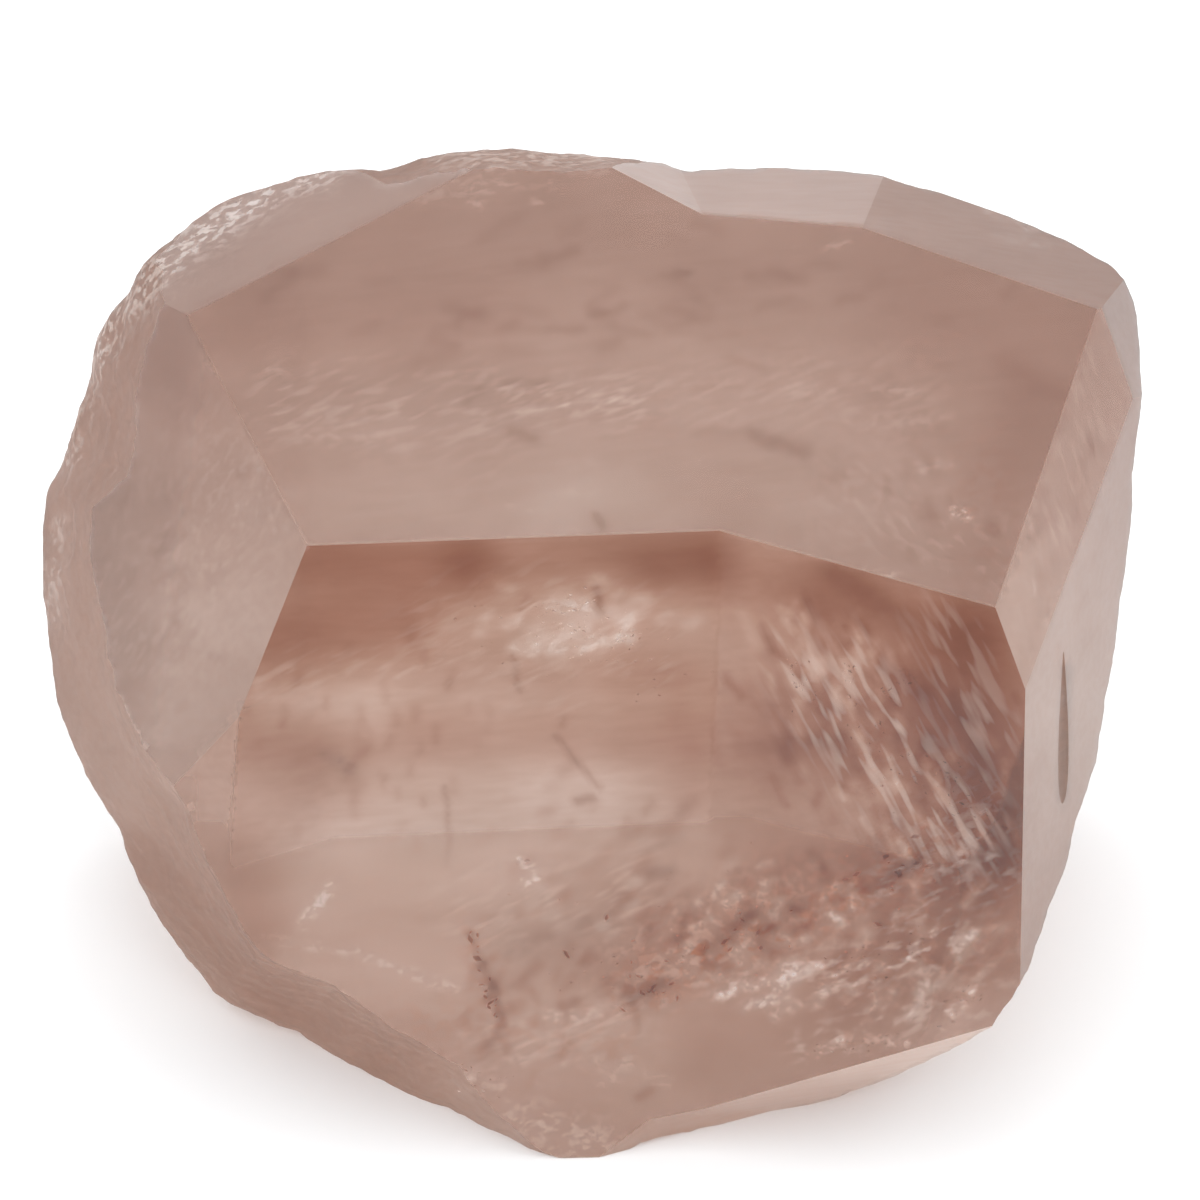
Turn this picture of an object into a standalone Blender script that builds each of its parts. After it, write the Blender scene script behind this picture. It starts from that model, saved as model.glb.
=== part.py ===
# Topaz crystal: one broken piece of a single crystal. Flat growth faces in front and on top, a rough
# fractured rim around them, steep rear prism faces and a flat cleavage foot that it stands on.
# Metres, +Z up, front of the crystal towards -Y, the middle of its box over the origin, the foot at height 0.

import bmesh
import bpy
import numpy as np
from mathutils import Vector

MM = 0.001

# The heart is a point deep inside. Every face is given by its distance from it.
HEART = np.array([0.43, -0.45, 15.9]) * MM

# Growth faces of the crystal, each as (the compass bearing it looks to, in degrees right of the front;
# its dip from level, in degrees; its distance from the heart, in mm).
GROWTH_FACES = {
    "roof": (0.0, 18.0, 12.5),
    "left_shoulder": (-53.9, 60.4, 17.0),
    "left_prism": (-32.6, 70.3, 16.2),
    "right_bevel": (59.5, 58.8, 21.5),
    "right_prism": (66.3, 80.5, 21.6),
    "right_corner": (78.1, 63.1, 24.7),
    "rear_slope": (135.1, 18.4, 19.7),
    "left_break": (-96.3, 12.3, 17.9),
    "rear_prism_right": (158.0, 99.0, 17.2),
    "rear_prism_middle": (-176.0, 100.0, 13.8),
    "rear_prism_left": (-150.0, 99.0, 17.4),
}

# The two front prism faces meet in a shallow inward crease.
FRONT_LEFT = (2.1, 70.3, 9.7)
FRONT_RIGHT = (-15.6, 70.7, 7.9)

# Under the front the crystal is cut back by a slope that ends at a small wall beside the front corner.
UNDERCUT = (11.7, 119.1, 20.5)
UNDERCUT_WALL = (19.8, 93.4, 16.1)

# A step at the top of the back: the ledge slopes back, its riser closes it on the left.
LEDGE = (168.0, 15.5, 18.3)
LEDGE_RISER = (128.7, 27.3, 18.8)

# The rough lump is drawn around an axis that leans 50 degrees forward from upright, so its widest line, the
# girdle, is the crystal's broken rim. The rim's outline, looked at along that axis, runs once round from the
# right: right of the heart, up from it, forward along the axis and round-off of the rim, mm.
GIRDLE_LEAN = 40.0
GIRDLE = (
    (23.1, 1.8, 0.6, 0.2),
    (23.5, 7.2, 1.1, 0.2),
    (23.9, 11.7, 1.6, 0.2),
    (23.8, 14.8, 1.4, 0.2),
    (22.8, 16.5, 1.1, 0.2),
    (20.9, 17.8, -1.1, 0.2),
    (16.6, 19.8, -2.5, 0.2),
    (12.5, 20.9, -3.1, 0.2),
    (9.4, 21.1, -3.4, 0.2),
    (4.5, 21.0, -3.1, 0.8),
    (2.2, 21.4, -2.3, 2.0),
    (-1.3, 21.7, -1.6, 3.6),
    (-6.2, 21.7, -1.6, 4.2),
    (-9.3, 20.9, -0.9, 5.0),
    (-12.9, 20.5, -0.4, 5.0),
    (-16.0, 19.5, 0.2, 4.8),
    (-19.5, 16.5, 1.1, 5.0),
    (-22.0, 13.4, -1.1, 6.6),
    (-22.7, 10.6, -1.8, 6.8),
    (-23.4, 8.5, -2.7, 6.8),
    (-24.4, 6.7, -3.2, 6.4),
    (-24.6, 3.6, -3.3, 6.2),
    (-24.4, 0.9, -3.0, 6.4),
    (-23.8, -2.7, -2.3, 6.6),
    (-22.1, -6.7, -1.1, 6.4),
    (-20.9, -8.4, -0.9, 6.2),
    (-19.0, -13.0, -2.3, 6.0),
    (-16.9, -16.0, -3.9, 5.6),
    (-13.1, -17.7, -3.4, 5.6),
    (-6.3, -20.6, -0.5, 5.8),
    (-3.6, -21.8, 0.9, 5.2),
    (-1.4, -22.7, 1.8, 3.0),
    (0.4, -23.0, 2.0, 0.4),
    (2.2, -21.9, 1.6, 0.3),
    (4.8, -21.4, 0.9, 0.2),
    (8.4, -20.8, 0.0, 0.2),
    (12.3, -19.6, 0.0, 0.2),
    (15.1, -17.9, 3.1, 0.2),
    (17.0, -16.3, 6.4, 0.2),
    (18.1, -14.5, 7.3, 0.2),
    (19.6, -11.5, 3.5, 0.2),
    (21.0, -8.0, 1.9, 0.2),
    (22.1, -5.1, 1.0, 0.2),
    (22.3, -2.6, 1.3, 0.2),
)
# What the scoops take off the rim all round is added to its radius.
SCOOP_ALLOWANCE = 0.15
FRONT_REACH = 34.0 * MM
FRONT_SPREAD = 1.4
FRONT_FULLNESS = 3.0
REAR_REACH = 27.0 * MM
REAR_FULLNESS = 3.2
ROUND_OFF_DEPTH = 5.5 * MM
ROUND_OFF_POWER = 1.6

# Shell-shaped scoops all over the broken surface: (how many, width, depth at the girdle, depth at the
# rear), mm.
SCOOPS = (
    (46, 9.0, 0.10, 0.85),
    (420, 3.0, 0.10, 0.22),
    (1500, 1.7, 0.07, 0.10),
)
SCOOP_SPHERE = 24.0 * MM
SCOOP_SEED = 11
REAR_RISE = 3.0

# Chips knocked out of the rim: (angle around the girdle in degrees, forward of it, width, depth), mm.
CHIPS = (
    (111, 1.6, 1.8, 0.20),
    (118, 2.4, 1.6, 0.30),
    (124, 1.0, 1.4, 0.15),
    (129, 2.6, 1.9, 0.35),
    (135, 1.2, 1.4, 0.20),
    (140, 2.8, 1.8, 0.35),
    (144, 0.8, 1.3, 0.20),
    (148, 2.6, 1.7, 0.40),
    (153, 0.8, 1.5, 0.20),
    (158, 2.8, 2.2, 0.45),
    (163, 0.8, 1.6, 0.20),
    (169, 2.8, 2.2, 0.40),
    (177, 1.6, 1.8, 0.20),
    (206, 2.8, 2.4, 0.35),
    (222, 1.2, 1.6, 0.20),
    (243, 2.6, 2.2, 0.30),
    (268, 2.0, 1.9, 0.40),
    (20, 0.8, 1.6, 0.20),
    (55, 1.2, 1.8, 0.20),
    (338, 1.0, 1.6, 0.20),
)

COLUMNS = 216
FRONT_ROWS = 22
REAR_ROWS = 26

# A lens-shaped etch scar sunk into the right prism face, placed from the heart and tilted a little backwards.
SCAR_CENTRE = np.array([20.2, -8.3, 2.2]) * MM
SCAR_TILT = np.radians(15.0)
SCAR_LENGTH = 7.0 * MM
SCAR_WIDTH = 1.9 * MM
SCAR_DEPTH = 0.30 * MM
SCAR_TAPER = 0.38
SCAR_FINENESS = 3

BLOCK_SIZE = 90.0 * MM
WELD = 0.03 * MM
TOPAZ_COLOUR = (0.45, 0.30, 0.23, 1.0)
TOPAZ_ROUGHNESS = 0.12
TOPAZ_IOR = 1.62
TOPAZ_TRANSMISSION = 0.8


def facing(bearing, dip):
    """Unit vector that looks to a bearing, degrees right of the front, and leans dip degrees from upright."""
    b, d = np.radians(bearing), np.radians(dip)
    return np.array([np.sin(d) * np.sin(b), -np.sin(d) * np.cos(b), np.cos(d)])


def unit(vectors):
    """The same directions, each one metre long."""
    return vectors / np.linalg.norm(vectors, axis=-1, keepdims=True)


def girdle_axes():
    """The lump's own axes: right, up along the leaning girdle, and forward along its axis."""
    lean = np.radians(GIRDLE_LEAN)
    right = np.array([1.0, 0.0, 0.0])
    forward = np.array([0.0, -np.cos(lean), np.sin(lean)])
    return right, np.cross(forward, right), forward


def around_girdle(angles):
    """Radius, axis offset and round-off at each angle, blended evenly between the listed points."""
    right, up, offset, round_off = np.array(GIRDLE).T
    bearing = np.degrees(np.arctan2(up, right)) % 360.0
    radius = np.hypot(right, up) + SCOOP_ALLOWANCE
    around = np.concatenate([bearing[-1:] - 360.0, bearing, bearing[:1] + 360.0])
    columns = [np.concatenate([column[-1:], column, column[:1]]) for column in (radius, offset, round_off)]
    return [np.interp(angles, around, column) * MM for column in columns]


def girdle_points(angles, ring, along):
    """Points at these angles around the lump's axis, at this radius from it and this far forward."""
    right, up, forward = girdle_axes()
    turn = np.radians(angles)
    across = (ring * np.cos(turn))[:, None] * right + (ring * np.sin(turn))[:, None] * up
    return HEART + across + along[:, None] * forward


def scoop_depth(points, rear_share):
    """How far the broken surface is pressed in: each scoop is a bowl, deepest at its own centre, so that
    neighbouring bowls meet in ridges. Depth grows from the girdle to the rear."""
    rng = np.random.default_rng(SCOOP_SEED)
    ways = unit(points - HEART)
    total = np.zeros(len(points))
    for count, width, girdle_depth, rear_depth in SCOOPS:
        centres = unit(rng.normal(size=(count, 3)))
        gaps = np.linalg.norm(ways[:, None] - centres[None], axis=2) * SCOOP_SPHERE
        bowl = np.clip(1.0 - (np.min(gaps, axis=1) / (width * MM)) ** 2, 0.0, 1.0)
        total += bowl * (girdle_depth + (rear_depth - girdle_depth) * rear_share) * MM
    return total


def chip_depth(points):
    """How far the rim's chips are pressed in: one bowl for each chip in the list."""
    angle, forward, width, depth = np.array(CHIPS).T
    radius, offset, _ = around_girdle(angle)
    centres = girdle_points(angle, radius, offset + forward * MM)
    gaps = np.linalg.norm(points[:, None] - centres[None], axis=2)
    bowls = np.clip(1.0 - (gaps / (width * MM)) ** 2, 0.0, 1.0)
    return np.max(bowls * depth * MM, axis=1)


def rough_lump():
    """The broken lump: rings of the girdle's outline that shrink towards a front and a rear pole."""
    angles = np.arange(COLUMNS) * 360.0 / COLUMNS
    radius, offset, round_off = around_girdle(angles)
    rings = []
    rear_share = []
    for step in range(1 - REAR_ROWS, FRONT_ROWS):
        if step > 0:
            share = (step / FRONT_ROWS) ** FRONT_SPREAD
            along = FRONT_REACH * share
            bend = (along / ROUND_OFF_DEPTH) ** ROUND_OFF_POWER
            ring = radius - round_off * bend / (1.0 + bend)
            ring = ring * (1.0 - share**FRONT_FULLNESS) ** (1.0 / FRONT_FULLNESS)
        else:
            share = np.sin(-step / REAR_ROWS * np.pi / 2)
            along = -REAR_REACH * share
            ring = radius * (1.0 - share**REAR_FULLNESS) ** (1.0 / REAR_FULLNESS)
        rings.append(girdle_points(angles, ring, along + offset * (1.0 - share)))
        rear_share.append(np.full(COLUMNS, min(1.0, REAR_RISE * share) if step < 0 else 0.0))
    points = np.concatenate(rings)
    pressed = scoop_depth(points, np.concatenate(rear_share)) + chip_depth(points)
    points = points + unit(HEART - points) * pressed[:, None]
    forward = girdle_axes()[2]
    poles = np.array([HEART - REAR_REACH * forward, HEART + FRONT_REACH * forward])
    return points, poles


def lump_object():
    """Joins the rings of the lump into one closed mesh."""
    points, poles = rough_lump()
    rows = len(points) // COLUMNS
    rear_pole = len(points)
    front_pole = rear_pole + 1
    faces = []
    for row in range(rows - 1):
        for column in range(COLUMNS):
            here = row * COLUMNS + column
            after = row * COLUMNS + (column + 1) % COLUMNS
            faces.append((here, after, after + COLUMNS, here + COLUMNS))
    last = (rows - 1) * COLUMNS
    for column in range(COLUMNS):
        after = (column + 1) % COLUMNS
        faces.append((after, column, rear_pole))
        faces.append((last + column, last + after, front_pole))
    bm = bmesh.new()
    vertices = [bm.verts.new(point) for point in np.concatenate([points, poles])]
    for face in faces:
        bm.faces.new([vertices[index] for index in face])
    return closed_object("topaz_crystal", bm)


def closed_object(name, bm):
    """A mesh object with its faces turned outwards."""
    bmesh.ops.recalc_face_normals(bm, faces=bm.faces)
    if bm.calc_volume(signed=True) < 0:
        bmesh.ops.reverse_faces(bm, faces=bm.faces)
    mesh = bpy.data.meshes.new(name)
    bm.to_mesh(mesh)
    bm.free()
    obj = bpy.data.objects.new(name, mesh)
    bpy.context.scene.collection.objects.link(obj)
    return obj


def face_plane(bearing, dip, distance, outside=False):
    """A flat face as (normal, point). With outside set, the side away from the heart is the one kept."""
    normal = facing(bearing, dip)
    point = HEART + normal * distance * MM
    return (-normal if outside else normal), point


def block(name, planes):
    """A big cube around the heart, cut down to what lies behind every given plane."""
    bm = bmesh.new()
    bmesh.ops.create_cube(bm, size=BLOCK_SIZE)
    bmesh.ops.translate(bm, verts=bm.verts, vec=Vector(HEART))
    for normal, point in planes:
        everything = bm.verts[:] + bm.edges[:] + bm.faces[:]
        cut = bmesh.ops.bisect_plane(
            bm, geom=everything, plane_co=Vector(point), plane_no=Vector(normal), clear_outer=True
        )
        rim = [part for part in cut["geom_cut"] if isinstance(part, bmesh.types.BMEdge)]
        if rim:
            bmesh.ops.edgeloop_fill(bm, edges=rim)
    return closed_object(name, bm)


def wedge(name, first, second):
    """What lies beyond both faces: the shape that a two-sided notch takes away."""
    return block(name, [face_plane(*first, outside=True), face_plane(*second, outside=True)])


def scar_object():
    """The etch scar's cutter: a flat lens, wide low down and drawn out to a point at the top."""
    bearing, dip, distance = GROWTH_FACES["right_prism"]
    normal = facing(bearing, dip)
    uphill = unit(np.array([0.0, 0.0, 1.0]) - normal * normal[2])
    along = np.cos(SCAR_TILT) * uphill + np.sin(SCAR_TILT) * np.cross(uphill, normal)
    across = np.cross(along, normal)
    centre = HEART + SCAR_CENTRE + normal * (distance * MM - np.dot(SCAR_CENTRE, normal))
    bm = bmesh.new()
    bmesh.ops.create_icosphere(bm, subdivisions=SCAR_FINENESS, radius=1.0)
    for vertex in bm.verts:
        x, y, z = vertex.co
        half_width = (1.0 - SCAR_TAPER * (1.0 + z)) * SCAR_WIDTH / 2
        place = centre + across * x * half_width + along * z * SCAR_LENGTH / 2
        vertex.co = Vector(place + normal * y * SCAR_DEPTH)
    return closed_object("scar", bm)


def carve(target, tool, operation):
    """Applies one exact Boolean and removes the tool."""
    modifier = target.modifiers.new(operation, "BOOLEAN")
    modifier.operation = operation
    modifier.solver = "EXACT"
    modifier.object = tool
    graph = bpy.context.evaluated_depsgraph_get()
    carved = bpy.data.meshes.new_from_object(target.evaluated_get(graph))
    target.modifiers.clear()
    target.data = carved
    bpy.data.objects.remove(tool)


def topaz_material():
    """Clear pinkish-brown topaz."""
    material = bpy.data.materials.new("topaz")
    material.use_nodes = True
    shader = material.node_tree.nodes["Principled BSDF"]
    shader.inputs["Base Color"].default_value = TOPAZ_COLOUR
    shader.inputs["Roughness"].default_value = TOPAZ_ROUGHNESS
    shader.inputs["Metallic"].default_value = 0.0
    shader.inputs["IOR"].default_value = TOPAZ_IOR
    shader.inputs["Transmission Weight"].default_value = TOPAZ_TRANSMISSION
    return material


def finish(crystal):
    """Welds stray points of the cuts, puts the middle of the box over the origin and makes triangles."""
    bm = bmesh.new()
    bm.from_mesh(crystal.data)
    bmesh.ops.remove_doubles(bm, verts=bm.verts, dist=WELD)
    bmesh.ops.dissolve_degenerate(bm, edges=bm.edges, dist=WELD)
    spots = np.array([vertex.co for vertex in bm.verts])
    low, high = spots.min(axis=0), spots.max(axis=0)
    middle = Vector((-(low[0] + high[0]) / 2, -(low[1] + high[1]) / 2, -low[2]))
    bmesh.ops.translate(bm, verts=bm.verts, vec=middle)
    bmesh.ops.triangulate(bm, faces=bm.faces)
    bmesh.ops.recalc_face_normals(bm, faces=bm.faces)
    bm.to_mesh(crystal.data)
    print("moved by", [round(value / MM, 3) for value in middle], "mm")
    print("size", np.round((high - low) / MM, 2), "mm, triangles", len(bm.faces))
    print("volume", round(bm.calc_volume() / MM**3 / 1000, 2), "cubic centimetres")
    bm.free()
    return middle


for old in list(bpy.data.objects):
    bpy.data.objects.remove(old)

crystal = lump_object()
foot = ((0.0, 0.0, -1.0), (0.0, 0.0, 0.0))
carve(crystal, block("faces", [foot] + [face_plane(*face) for face in GROWTH_FACES.values()]), "INTERSECT")
carve(crystal, wedge("front", FRONT_LEFT, FRONT_RIGHT), "DIFFERENCE")
carve(crystal, wedge("undercut", UNDERCUT, UNDERCUT_WALL), "DIFFERENCE")
carve(crystal, wedge("ledge", LEDGE, LEDGE_RISER), "DIFFERENCE")
carve(crystal, scar_object(), "DIFFERENCE")
SHIFT = finish(crystal)
crystal.data.materials.clear()
crystal.data.materials.append(topaz_material())
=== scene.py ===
# %% [markdown]
# # A clear topaz crystal
# The object is one broken piece of a single topaz crystal, about 49 mm wide. It has flat growth faces in
# front and on top and a rough broken rim. It is clear, so most of what the eye sees is inside it or behind
# it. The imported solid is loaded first. It stays the measure of everything made here.

import bpy
import bmesh
import numpy as np
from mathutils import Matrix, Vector
from mathutils.geometry import delaunay_2d_cdt


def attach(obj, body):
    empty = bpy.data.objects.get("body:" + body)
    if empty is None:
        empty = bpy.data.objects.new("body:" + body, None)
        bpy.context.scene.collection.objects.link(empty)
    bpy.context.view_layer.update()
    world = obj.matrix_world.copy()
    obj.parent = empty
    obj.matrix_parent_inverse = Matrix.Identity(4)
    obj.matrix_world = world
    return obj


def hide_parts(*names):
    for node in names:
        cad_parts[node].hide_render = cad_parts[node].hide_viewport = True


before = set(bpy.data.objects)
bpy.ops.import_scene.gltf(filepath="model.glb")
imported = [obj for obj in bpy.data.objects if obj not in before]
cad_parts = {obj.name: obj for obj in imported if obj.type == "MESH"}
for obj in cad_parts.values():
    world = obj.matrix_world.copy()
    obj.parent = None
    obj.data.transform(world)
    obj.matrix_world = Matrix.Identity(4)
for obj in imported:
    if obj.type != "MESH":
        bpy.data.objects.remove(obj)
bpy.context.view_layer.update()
MM = 0.001

# %% [markdown]
# ## Camera
# A long lens looks down on the crystal at 40 degrees, which keeps its edges nearly parallel, as in the
# picture. A camera's frame could be found by eye, but here it follows from one measured point: the
# crystal's heart, which lies 176 mm in front of the lens and a little left of and below the middle of the
# frame.

# %% Camera
HEART = np.array([0.319, -0.439, 15.9]) * MM
HEART_IN_VIEW = np.array([-0.44, -1.76, -175.9]) * MM
LOOK_DOWN = np.radians(40.0)
LENS = 120.0
SENSOR = 36.0
PICTURE = 1200.0

view_right = np.array([1.0, 0.0, 0.0])
view_up = np.array([0.0, np.sin(LOOK_DOWN), np.cos(LOOK_DOWN)])
view_back = np.array([0.0, -np.cos(LOOK_DOWN), np.sin(LOOK_DOWN)])
VIEW = np.stack([view_right, view_up, view_back], axis=1)
EYE = HEART - VIEW @ HEART_IN_VIEW

camera_data = bpy.data.cameras.new("camera")
camera_data.lens = LENS
camera_data.sensor_width = SENSOR
camera_data.clip_start = 0.001
camera = bpy.data.objects.new("camera", camera_data)
camera.location = EYE
camera.rotation_euler = (np.pi / 2 - LOOK_DOWN, 0.0, 0.0)
bpy.context.scene.collection.objects.link(camera)
bpy.context.scene.camera = camera
print("camera at, mm:", np.round(EYE / MM, 2).tolist())

# %% [markdown]
# ## Light and floor
# A clear stone shows whatever surrounds it, so the surroundings are plain and bright: a pale floor under a
# soft white sky, dimmer low at the front, so that the front faces mirror little. The sky is so even that it
# needs no sampling of its own, and without a lamp the many paths inside the stone stay cheap. Three small
# helpers come first: one puts a mesh into the scene, one wires the nodes of a shader, and one makes a
# material.

# %% Light and floor
FLOOR_SIZE = 900.0 * MM
FLOOR_GAP = 0.03 * MM
FLOOR_COLOUR = (0.92, 0.945, 0.96, 1.0)
FLOOR_ROUGHNESS = 0.9
SKY_STRENGTH = 1.5
DIM_WAY = (0.0, -1.0, 0.0)
DIM_FROM = 0.72
DIM_FULL = 0.97
DIM_SKY = 0.35


def placed(name, mesh):
    """An object that shows this mesh in the scene."""
    obj = bpy.data.objects.new(name, mesh)
    bpy.context.scene.collection.objects.link(obj)
    return obj


def wire(tree, node, inputs):
    """Sets each named input of a node to a plain value, or links it to the output of another node."""
    for name, value in inputs.items():
        if isinstance(value, bpy.types.NodeSocket):
            tree.links.new(value, node.inputs[name])
        else:
            node.inputs[name].default_value = value
    return node


def new_material(name):
    """A material, its node tree and the Principled shader in it."""
    material = bpy.data.materials.new(name)
    material.use_nodes = True
    return material, material.node_tree, material.node_tree.nodes["Principled BSDF"]


def pale_floor():
    """A flat square sheet just under the foot."""
    half = FLOOR_SIZE / 2
    corners = [(-half, -half), (half, -half), (half, half), (-half, half)]
    mesh = bpy.data.meshes.new("floor")
    mesh.from_pydata([(x, y, -FLOOR_GAP) for x, y in corners], [], [(0, 1, 2, 3)])
    material, tree, shader = new_material("floor_paper")
    wire(tree, shader, {"Base Color": FLOOR_COLOUR, "Roughness": FLOOR_ROUGHNESS})
    mesh.materials.append(material)
    floor = placed("floor", mesh)


def white_sky():
    """An even white sky that gets dimmer around the level direction to the front."""
    world = bpy.data.worlds.new("white_sky")
    world.use_nodes = True
    tree = world.node_tree
    way = tree.nodes.new("ShaderNodeTexCoord").outputs["Generated"]
    toward = tree.nodes.new("ShaderNodeVectorMath")
    toward.operation = "DOT_PRODUCT"
    wire(tree, toward, {0: way, 1: DIM_WAY})
    light = tree.nodes.new("ShaderNodeMapRange")
    light.interpolation_type = "SMOOTHSTEP"
    limits = {"From Min": DIM_FROM, "From Max": DIM_FULL, "To Min": 1.0, "To Max": DIM_SKY}
    wire(tree, light, {"Value": toward.outputs["Value"], **limits})
    wire(tree, tree.nodes["Background"], {"Color": light.outputs["Result"], "Strength": SKY_STRENGTH})
    world.cycles.sampling_method = "NONE"
    return world


bpy.context.scene.world = white_sky()
bpy.context.scene.view_settings.view_transform = "Standard"
pale_floor()
print("floor, mm:", round(FLOOR_SIZE / MM), "sky strength:", SKY_STRENGTH)

# %% [markdown]
# ## The crystal's faces
# A growth face is a flat plane that the crystal built up layer by layer. Each one is given here by the
# compass bearing it looks to, its dip from level and its distance from the heart. The crystal is what lies
# behind all of them, less a few notches, where two planes meet at an inward corner.

# %% Faces
GROWTH_FACES = {
    "roof": (0.0, 18.0, 12.5),
    "left_shoulder": (-53.9, 60.4, 17.0),
    "left_prism": (-32.6, 70.3, 16.2),
    "right_bevel": (59.5, 58.8, 21.5),
    "right_prism": (66.3, 80.5, 21.6),
    "right_corner": (78.1, 63.1, 24.7),
    "rear_slope": (135.1, 18.4, 19.7),
    "left_break": (-96.3, 12.3, 17.9),
    "rear_prism_right": (158.0, 99.0, 17.2),
    "rear_prism_middle": (-176.0, 100.0, 13.8),
    "rear_prism_left": (-150.0, 99.0, 17.4),
}
NOTCHES = {
    "front": ((2.1, 70.3, 9.7), (-15.6, 70.7, 7.9)),
    "undercut": ((11.7, 119.1, 20.5), (19.8, 93.4, 16.1)),
    "ledge": ((168.0, 15.5, 18.3), (128.7, 27.3, 18.8)),
}


def unit(vectors):
    """The same directions with length one."""
    return vectors / np.linalg.norm(vectors, axis=-1, keepdims=True)


def facing(bearing, dip):
    """Unit vector that looks to a bearing, degrees right of the front, and leans dip degrees from upright."""
    b, d = np.radians(bearing), np.radians(dip)
    return np.array([np.sin(d) * np.sin(b), -np.sin(d) * np.cos(b), np.cos(d)])


def plane(bearing, dip, distance):
    """A face as its normal and the height along that normal at which it lies."""
    normal = facing(bearing, dip)
    return normal, float(np.dot(normal, HEART) + distance * MM)


PLANES = {name: plane(*face) for name, face in GROWTH_FACES.items()}
NOTCH_PLANES = {name: [plane(*side) for side in sides] for name, sides in NOTCHES.items()}
print("growth faces:", len(PLANES), "notches:", len(NOTCH_PLANES))

# %% [markdown]
# ## The broken rim
# Where the crystal broke from its rock it shows shell-shaped scoops, chips and fine ripples instead of flat
# faces. It could be sculpted by hand. Here it is a surface of two parameters, the angle around the rim and
# the way from the back to the front, because a formula keeps every scoop inside the solid that was packed.

# %% The rim's outline
# Once round from the right, looked at along the girdle's axis: right of the heart, up from it, forward
# along the axis and round-off of the rim, all in mm.
GIRDLE = """
23.1 1.8 .6 .2; 23.5 7.2 1.1 .2; 23.9 11.7 1.6 .2; 23.8 14.8 1.4 .2; 22.8 16.5 1.1 .2; 20.9 17.8 -1.1 .2
16.6 19.8 -2.5 .2; 12.5 20.9 -3.1 .2; 9.4 21.1 -3.4 .2; 4.5 21 -3.1 .8; 2.2 21.4 -2.3 2
-1.3 21.7 -1.6 3.6; -6.2 21.7 -1.6 4.2; -9.3 20.9 -.9 5; -12.9 20.5 -.4 5; -16 19.5 .2 4.8
-19.5 16.5 1.1 5; -22 13.4 -1.1 6.6; -22.7 10.6 -1.8 6.8; -23.4 8.5 -2.7 6.8; -24.4 6.7 -3.2 6.4
-24.6 3.6 -3.3 6.2; -24.4 .9 -3 6.4; -23.8 -2.7 -2.3 6.6; -22.1 -6.7 -1.1 6.4; -20.9 -8.4 -.9 6.2
-19 -13 -2.3 6; -16.9 -16 -3.9 5.6; -13.1 -17.7 -3.4 5.6; -6.3 -20.6 -.5 5.8; -3.6 -21.8 .9 5.2
-1.4 -22.7 1.8 3; .4 -23 2 .4; 2.2 -21.9 1.6 .3; 4.8 -21.4 .9 .2; 8.4 -20.8 0 .2; 12.3 -19.6 0 .2
15.1 -17.9 3.1 .2; 17 -16.3 6.4 .2; 18.1 -14.5 7.3 .2; 19.6 -11.5 3.5 .2; 21 -8 1.9 .2; 22.1 -5.1 1 .2
22.3 -2.6 1.3 .2
"""
SCOOP_ALLOWANCE = 0.15


def table(text):
    """The numbers of a written table, one row for each line or semicolon."""
    rows = text.replace("\n", ";").split(";")
    return np.array([[float(number) for number in row.split()] for row in rows if row.strip()])


RIM = table(GIRDLE)
GIRDLE_LEAN = np.radians(40.0)
RIGHT = np.array([1.0, 0.0, 0.0])
FORWARD = np.array([0.0, -np.cos(GIRDLE_LEAN), np.sin(GIRDLE_LEAN)])
UP = np.cross(FORWARD, RIGHT)


def around_rim(angles):
    """Radius, offset and round-off at each angle, blended evenly between the listed points."""
    right, up, offset, round_off = RIM.T
    bearing = np.degrees(np.arctan2(up, right)) % 360.0
    radius = np.hypot(right, up) + SCOOP_ALLOWANCE
    around = np.concatenate([bearing[-1:] - 360.0, bearing, bearing[:1] + 360.0])
    columns = [np.concatenate([column[-1:], column, column[:1]]) for column in (radius, offset, round_off)]
    return [np.interp(angles, around, column) * MM for column in columns]


def on_rim(angles, ring, along):
    """Points at these angles around the leaning axis, this far from it and this far forward."""
    turn = np.radians(angles)
    return (
        HEART
        + (ring * np.cos(turn))[..., None] * RIGHT
        + (ring * np.sin(turn))[..., None] * UP
        + along[..., None] * FORWARD
    )


print("rim points:", len(RIM), "farthest, mm:", round(float(np.hypot(RIM[:, 0], RIM[:, 1]).max()), 1))

# %% Scoops and chips
# Scoops: how many, their width in mm, then their depth in mm at the rim and at the rear.
SCOOPS = ((46, 9.0, 0.10, 0.85), (420, 3.0, 0.10, 0.22), (1500, 1.7, 0.07, 0.10))
SCOOP_SPHERE = 24.0 * MM
SCOOP_SEED = 11
SEARCH_PARTS = 40
# Chips of the rim: angle in degrees, way forward, width and depth in mm.
CHIPS = table("""
111 1.6 1.8 .20; 118 2.4 1.6 .30; 124 1.0 1.4 .15; 129 2.6 1.9 .35; 135 1.2 1.4 .20; 140 2.8 1.8 .35
144 0.8 1.3 .20; 148 2.6 1.7 .40; 153 0.8 1.5 .20; 158 2.8 2.2 .45; 163 0.8 1.6 .20; 169 2.8 2.2 .40
177 1.6 1.8 .20; 206 2.8 2.4 .35; 222 1.2 1.6 .20; 243 2.6 2.2 .30; 268 2.0 1.9 .40; 20 0.8 1.6 .20
55 1.2 1.8 .20; 338 1.0 1.6 .20
""")
# Large odd factors that scatter the corners of a lattice, so that each cell gets a spot of its own.
SCATTER = np.array([[12.99, 39.35, 73.16], [78.23, 11.14, 52.24], [37.72, 83.16, 9.15]])
SCATTER_SPREAD = 43758.5
FAR_AWAY = 9.0


def bowl(gap, reach):
    """A round bowl that is one deep in its middle and runs out at its reach."""
    return np.clip(1.0 - (gap / reach) ** 2, 0.0, 1.0)


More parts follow.
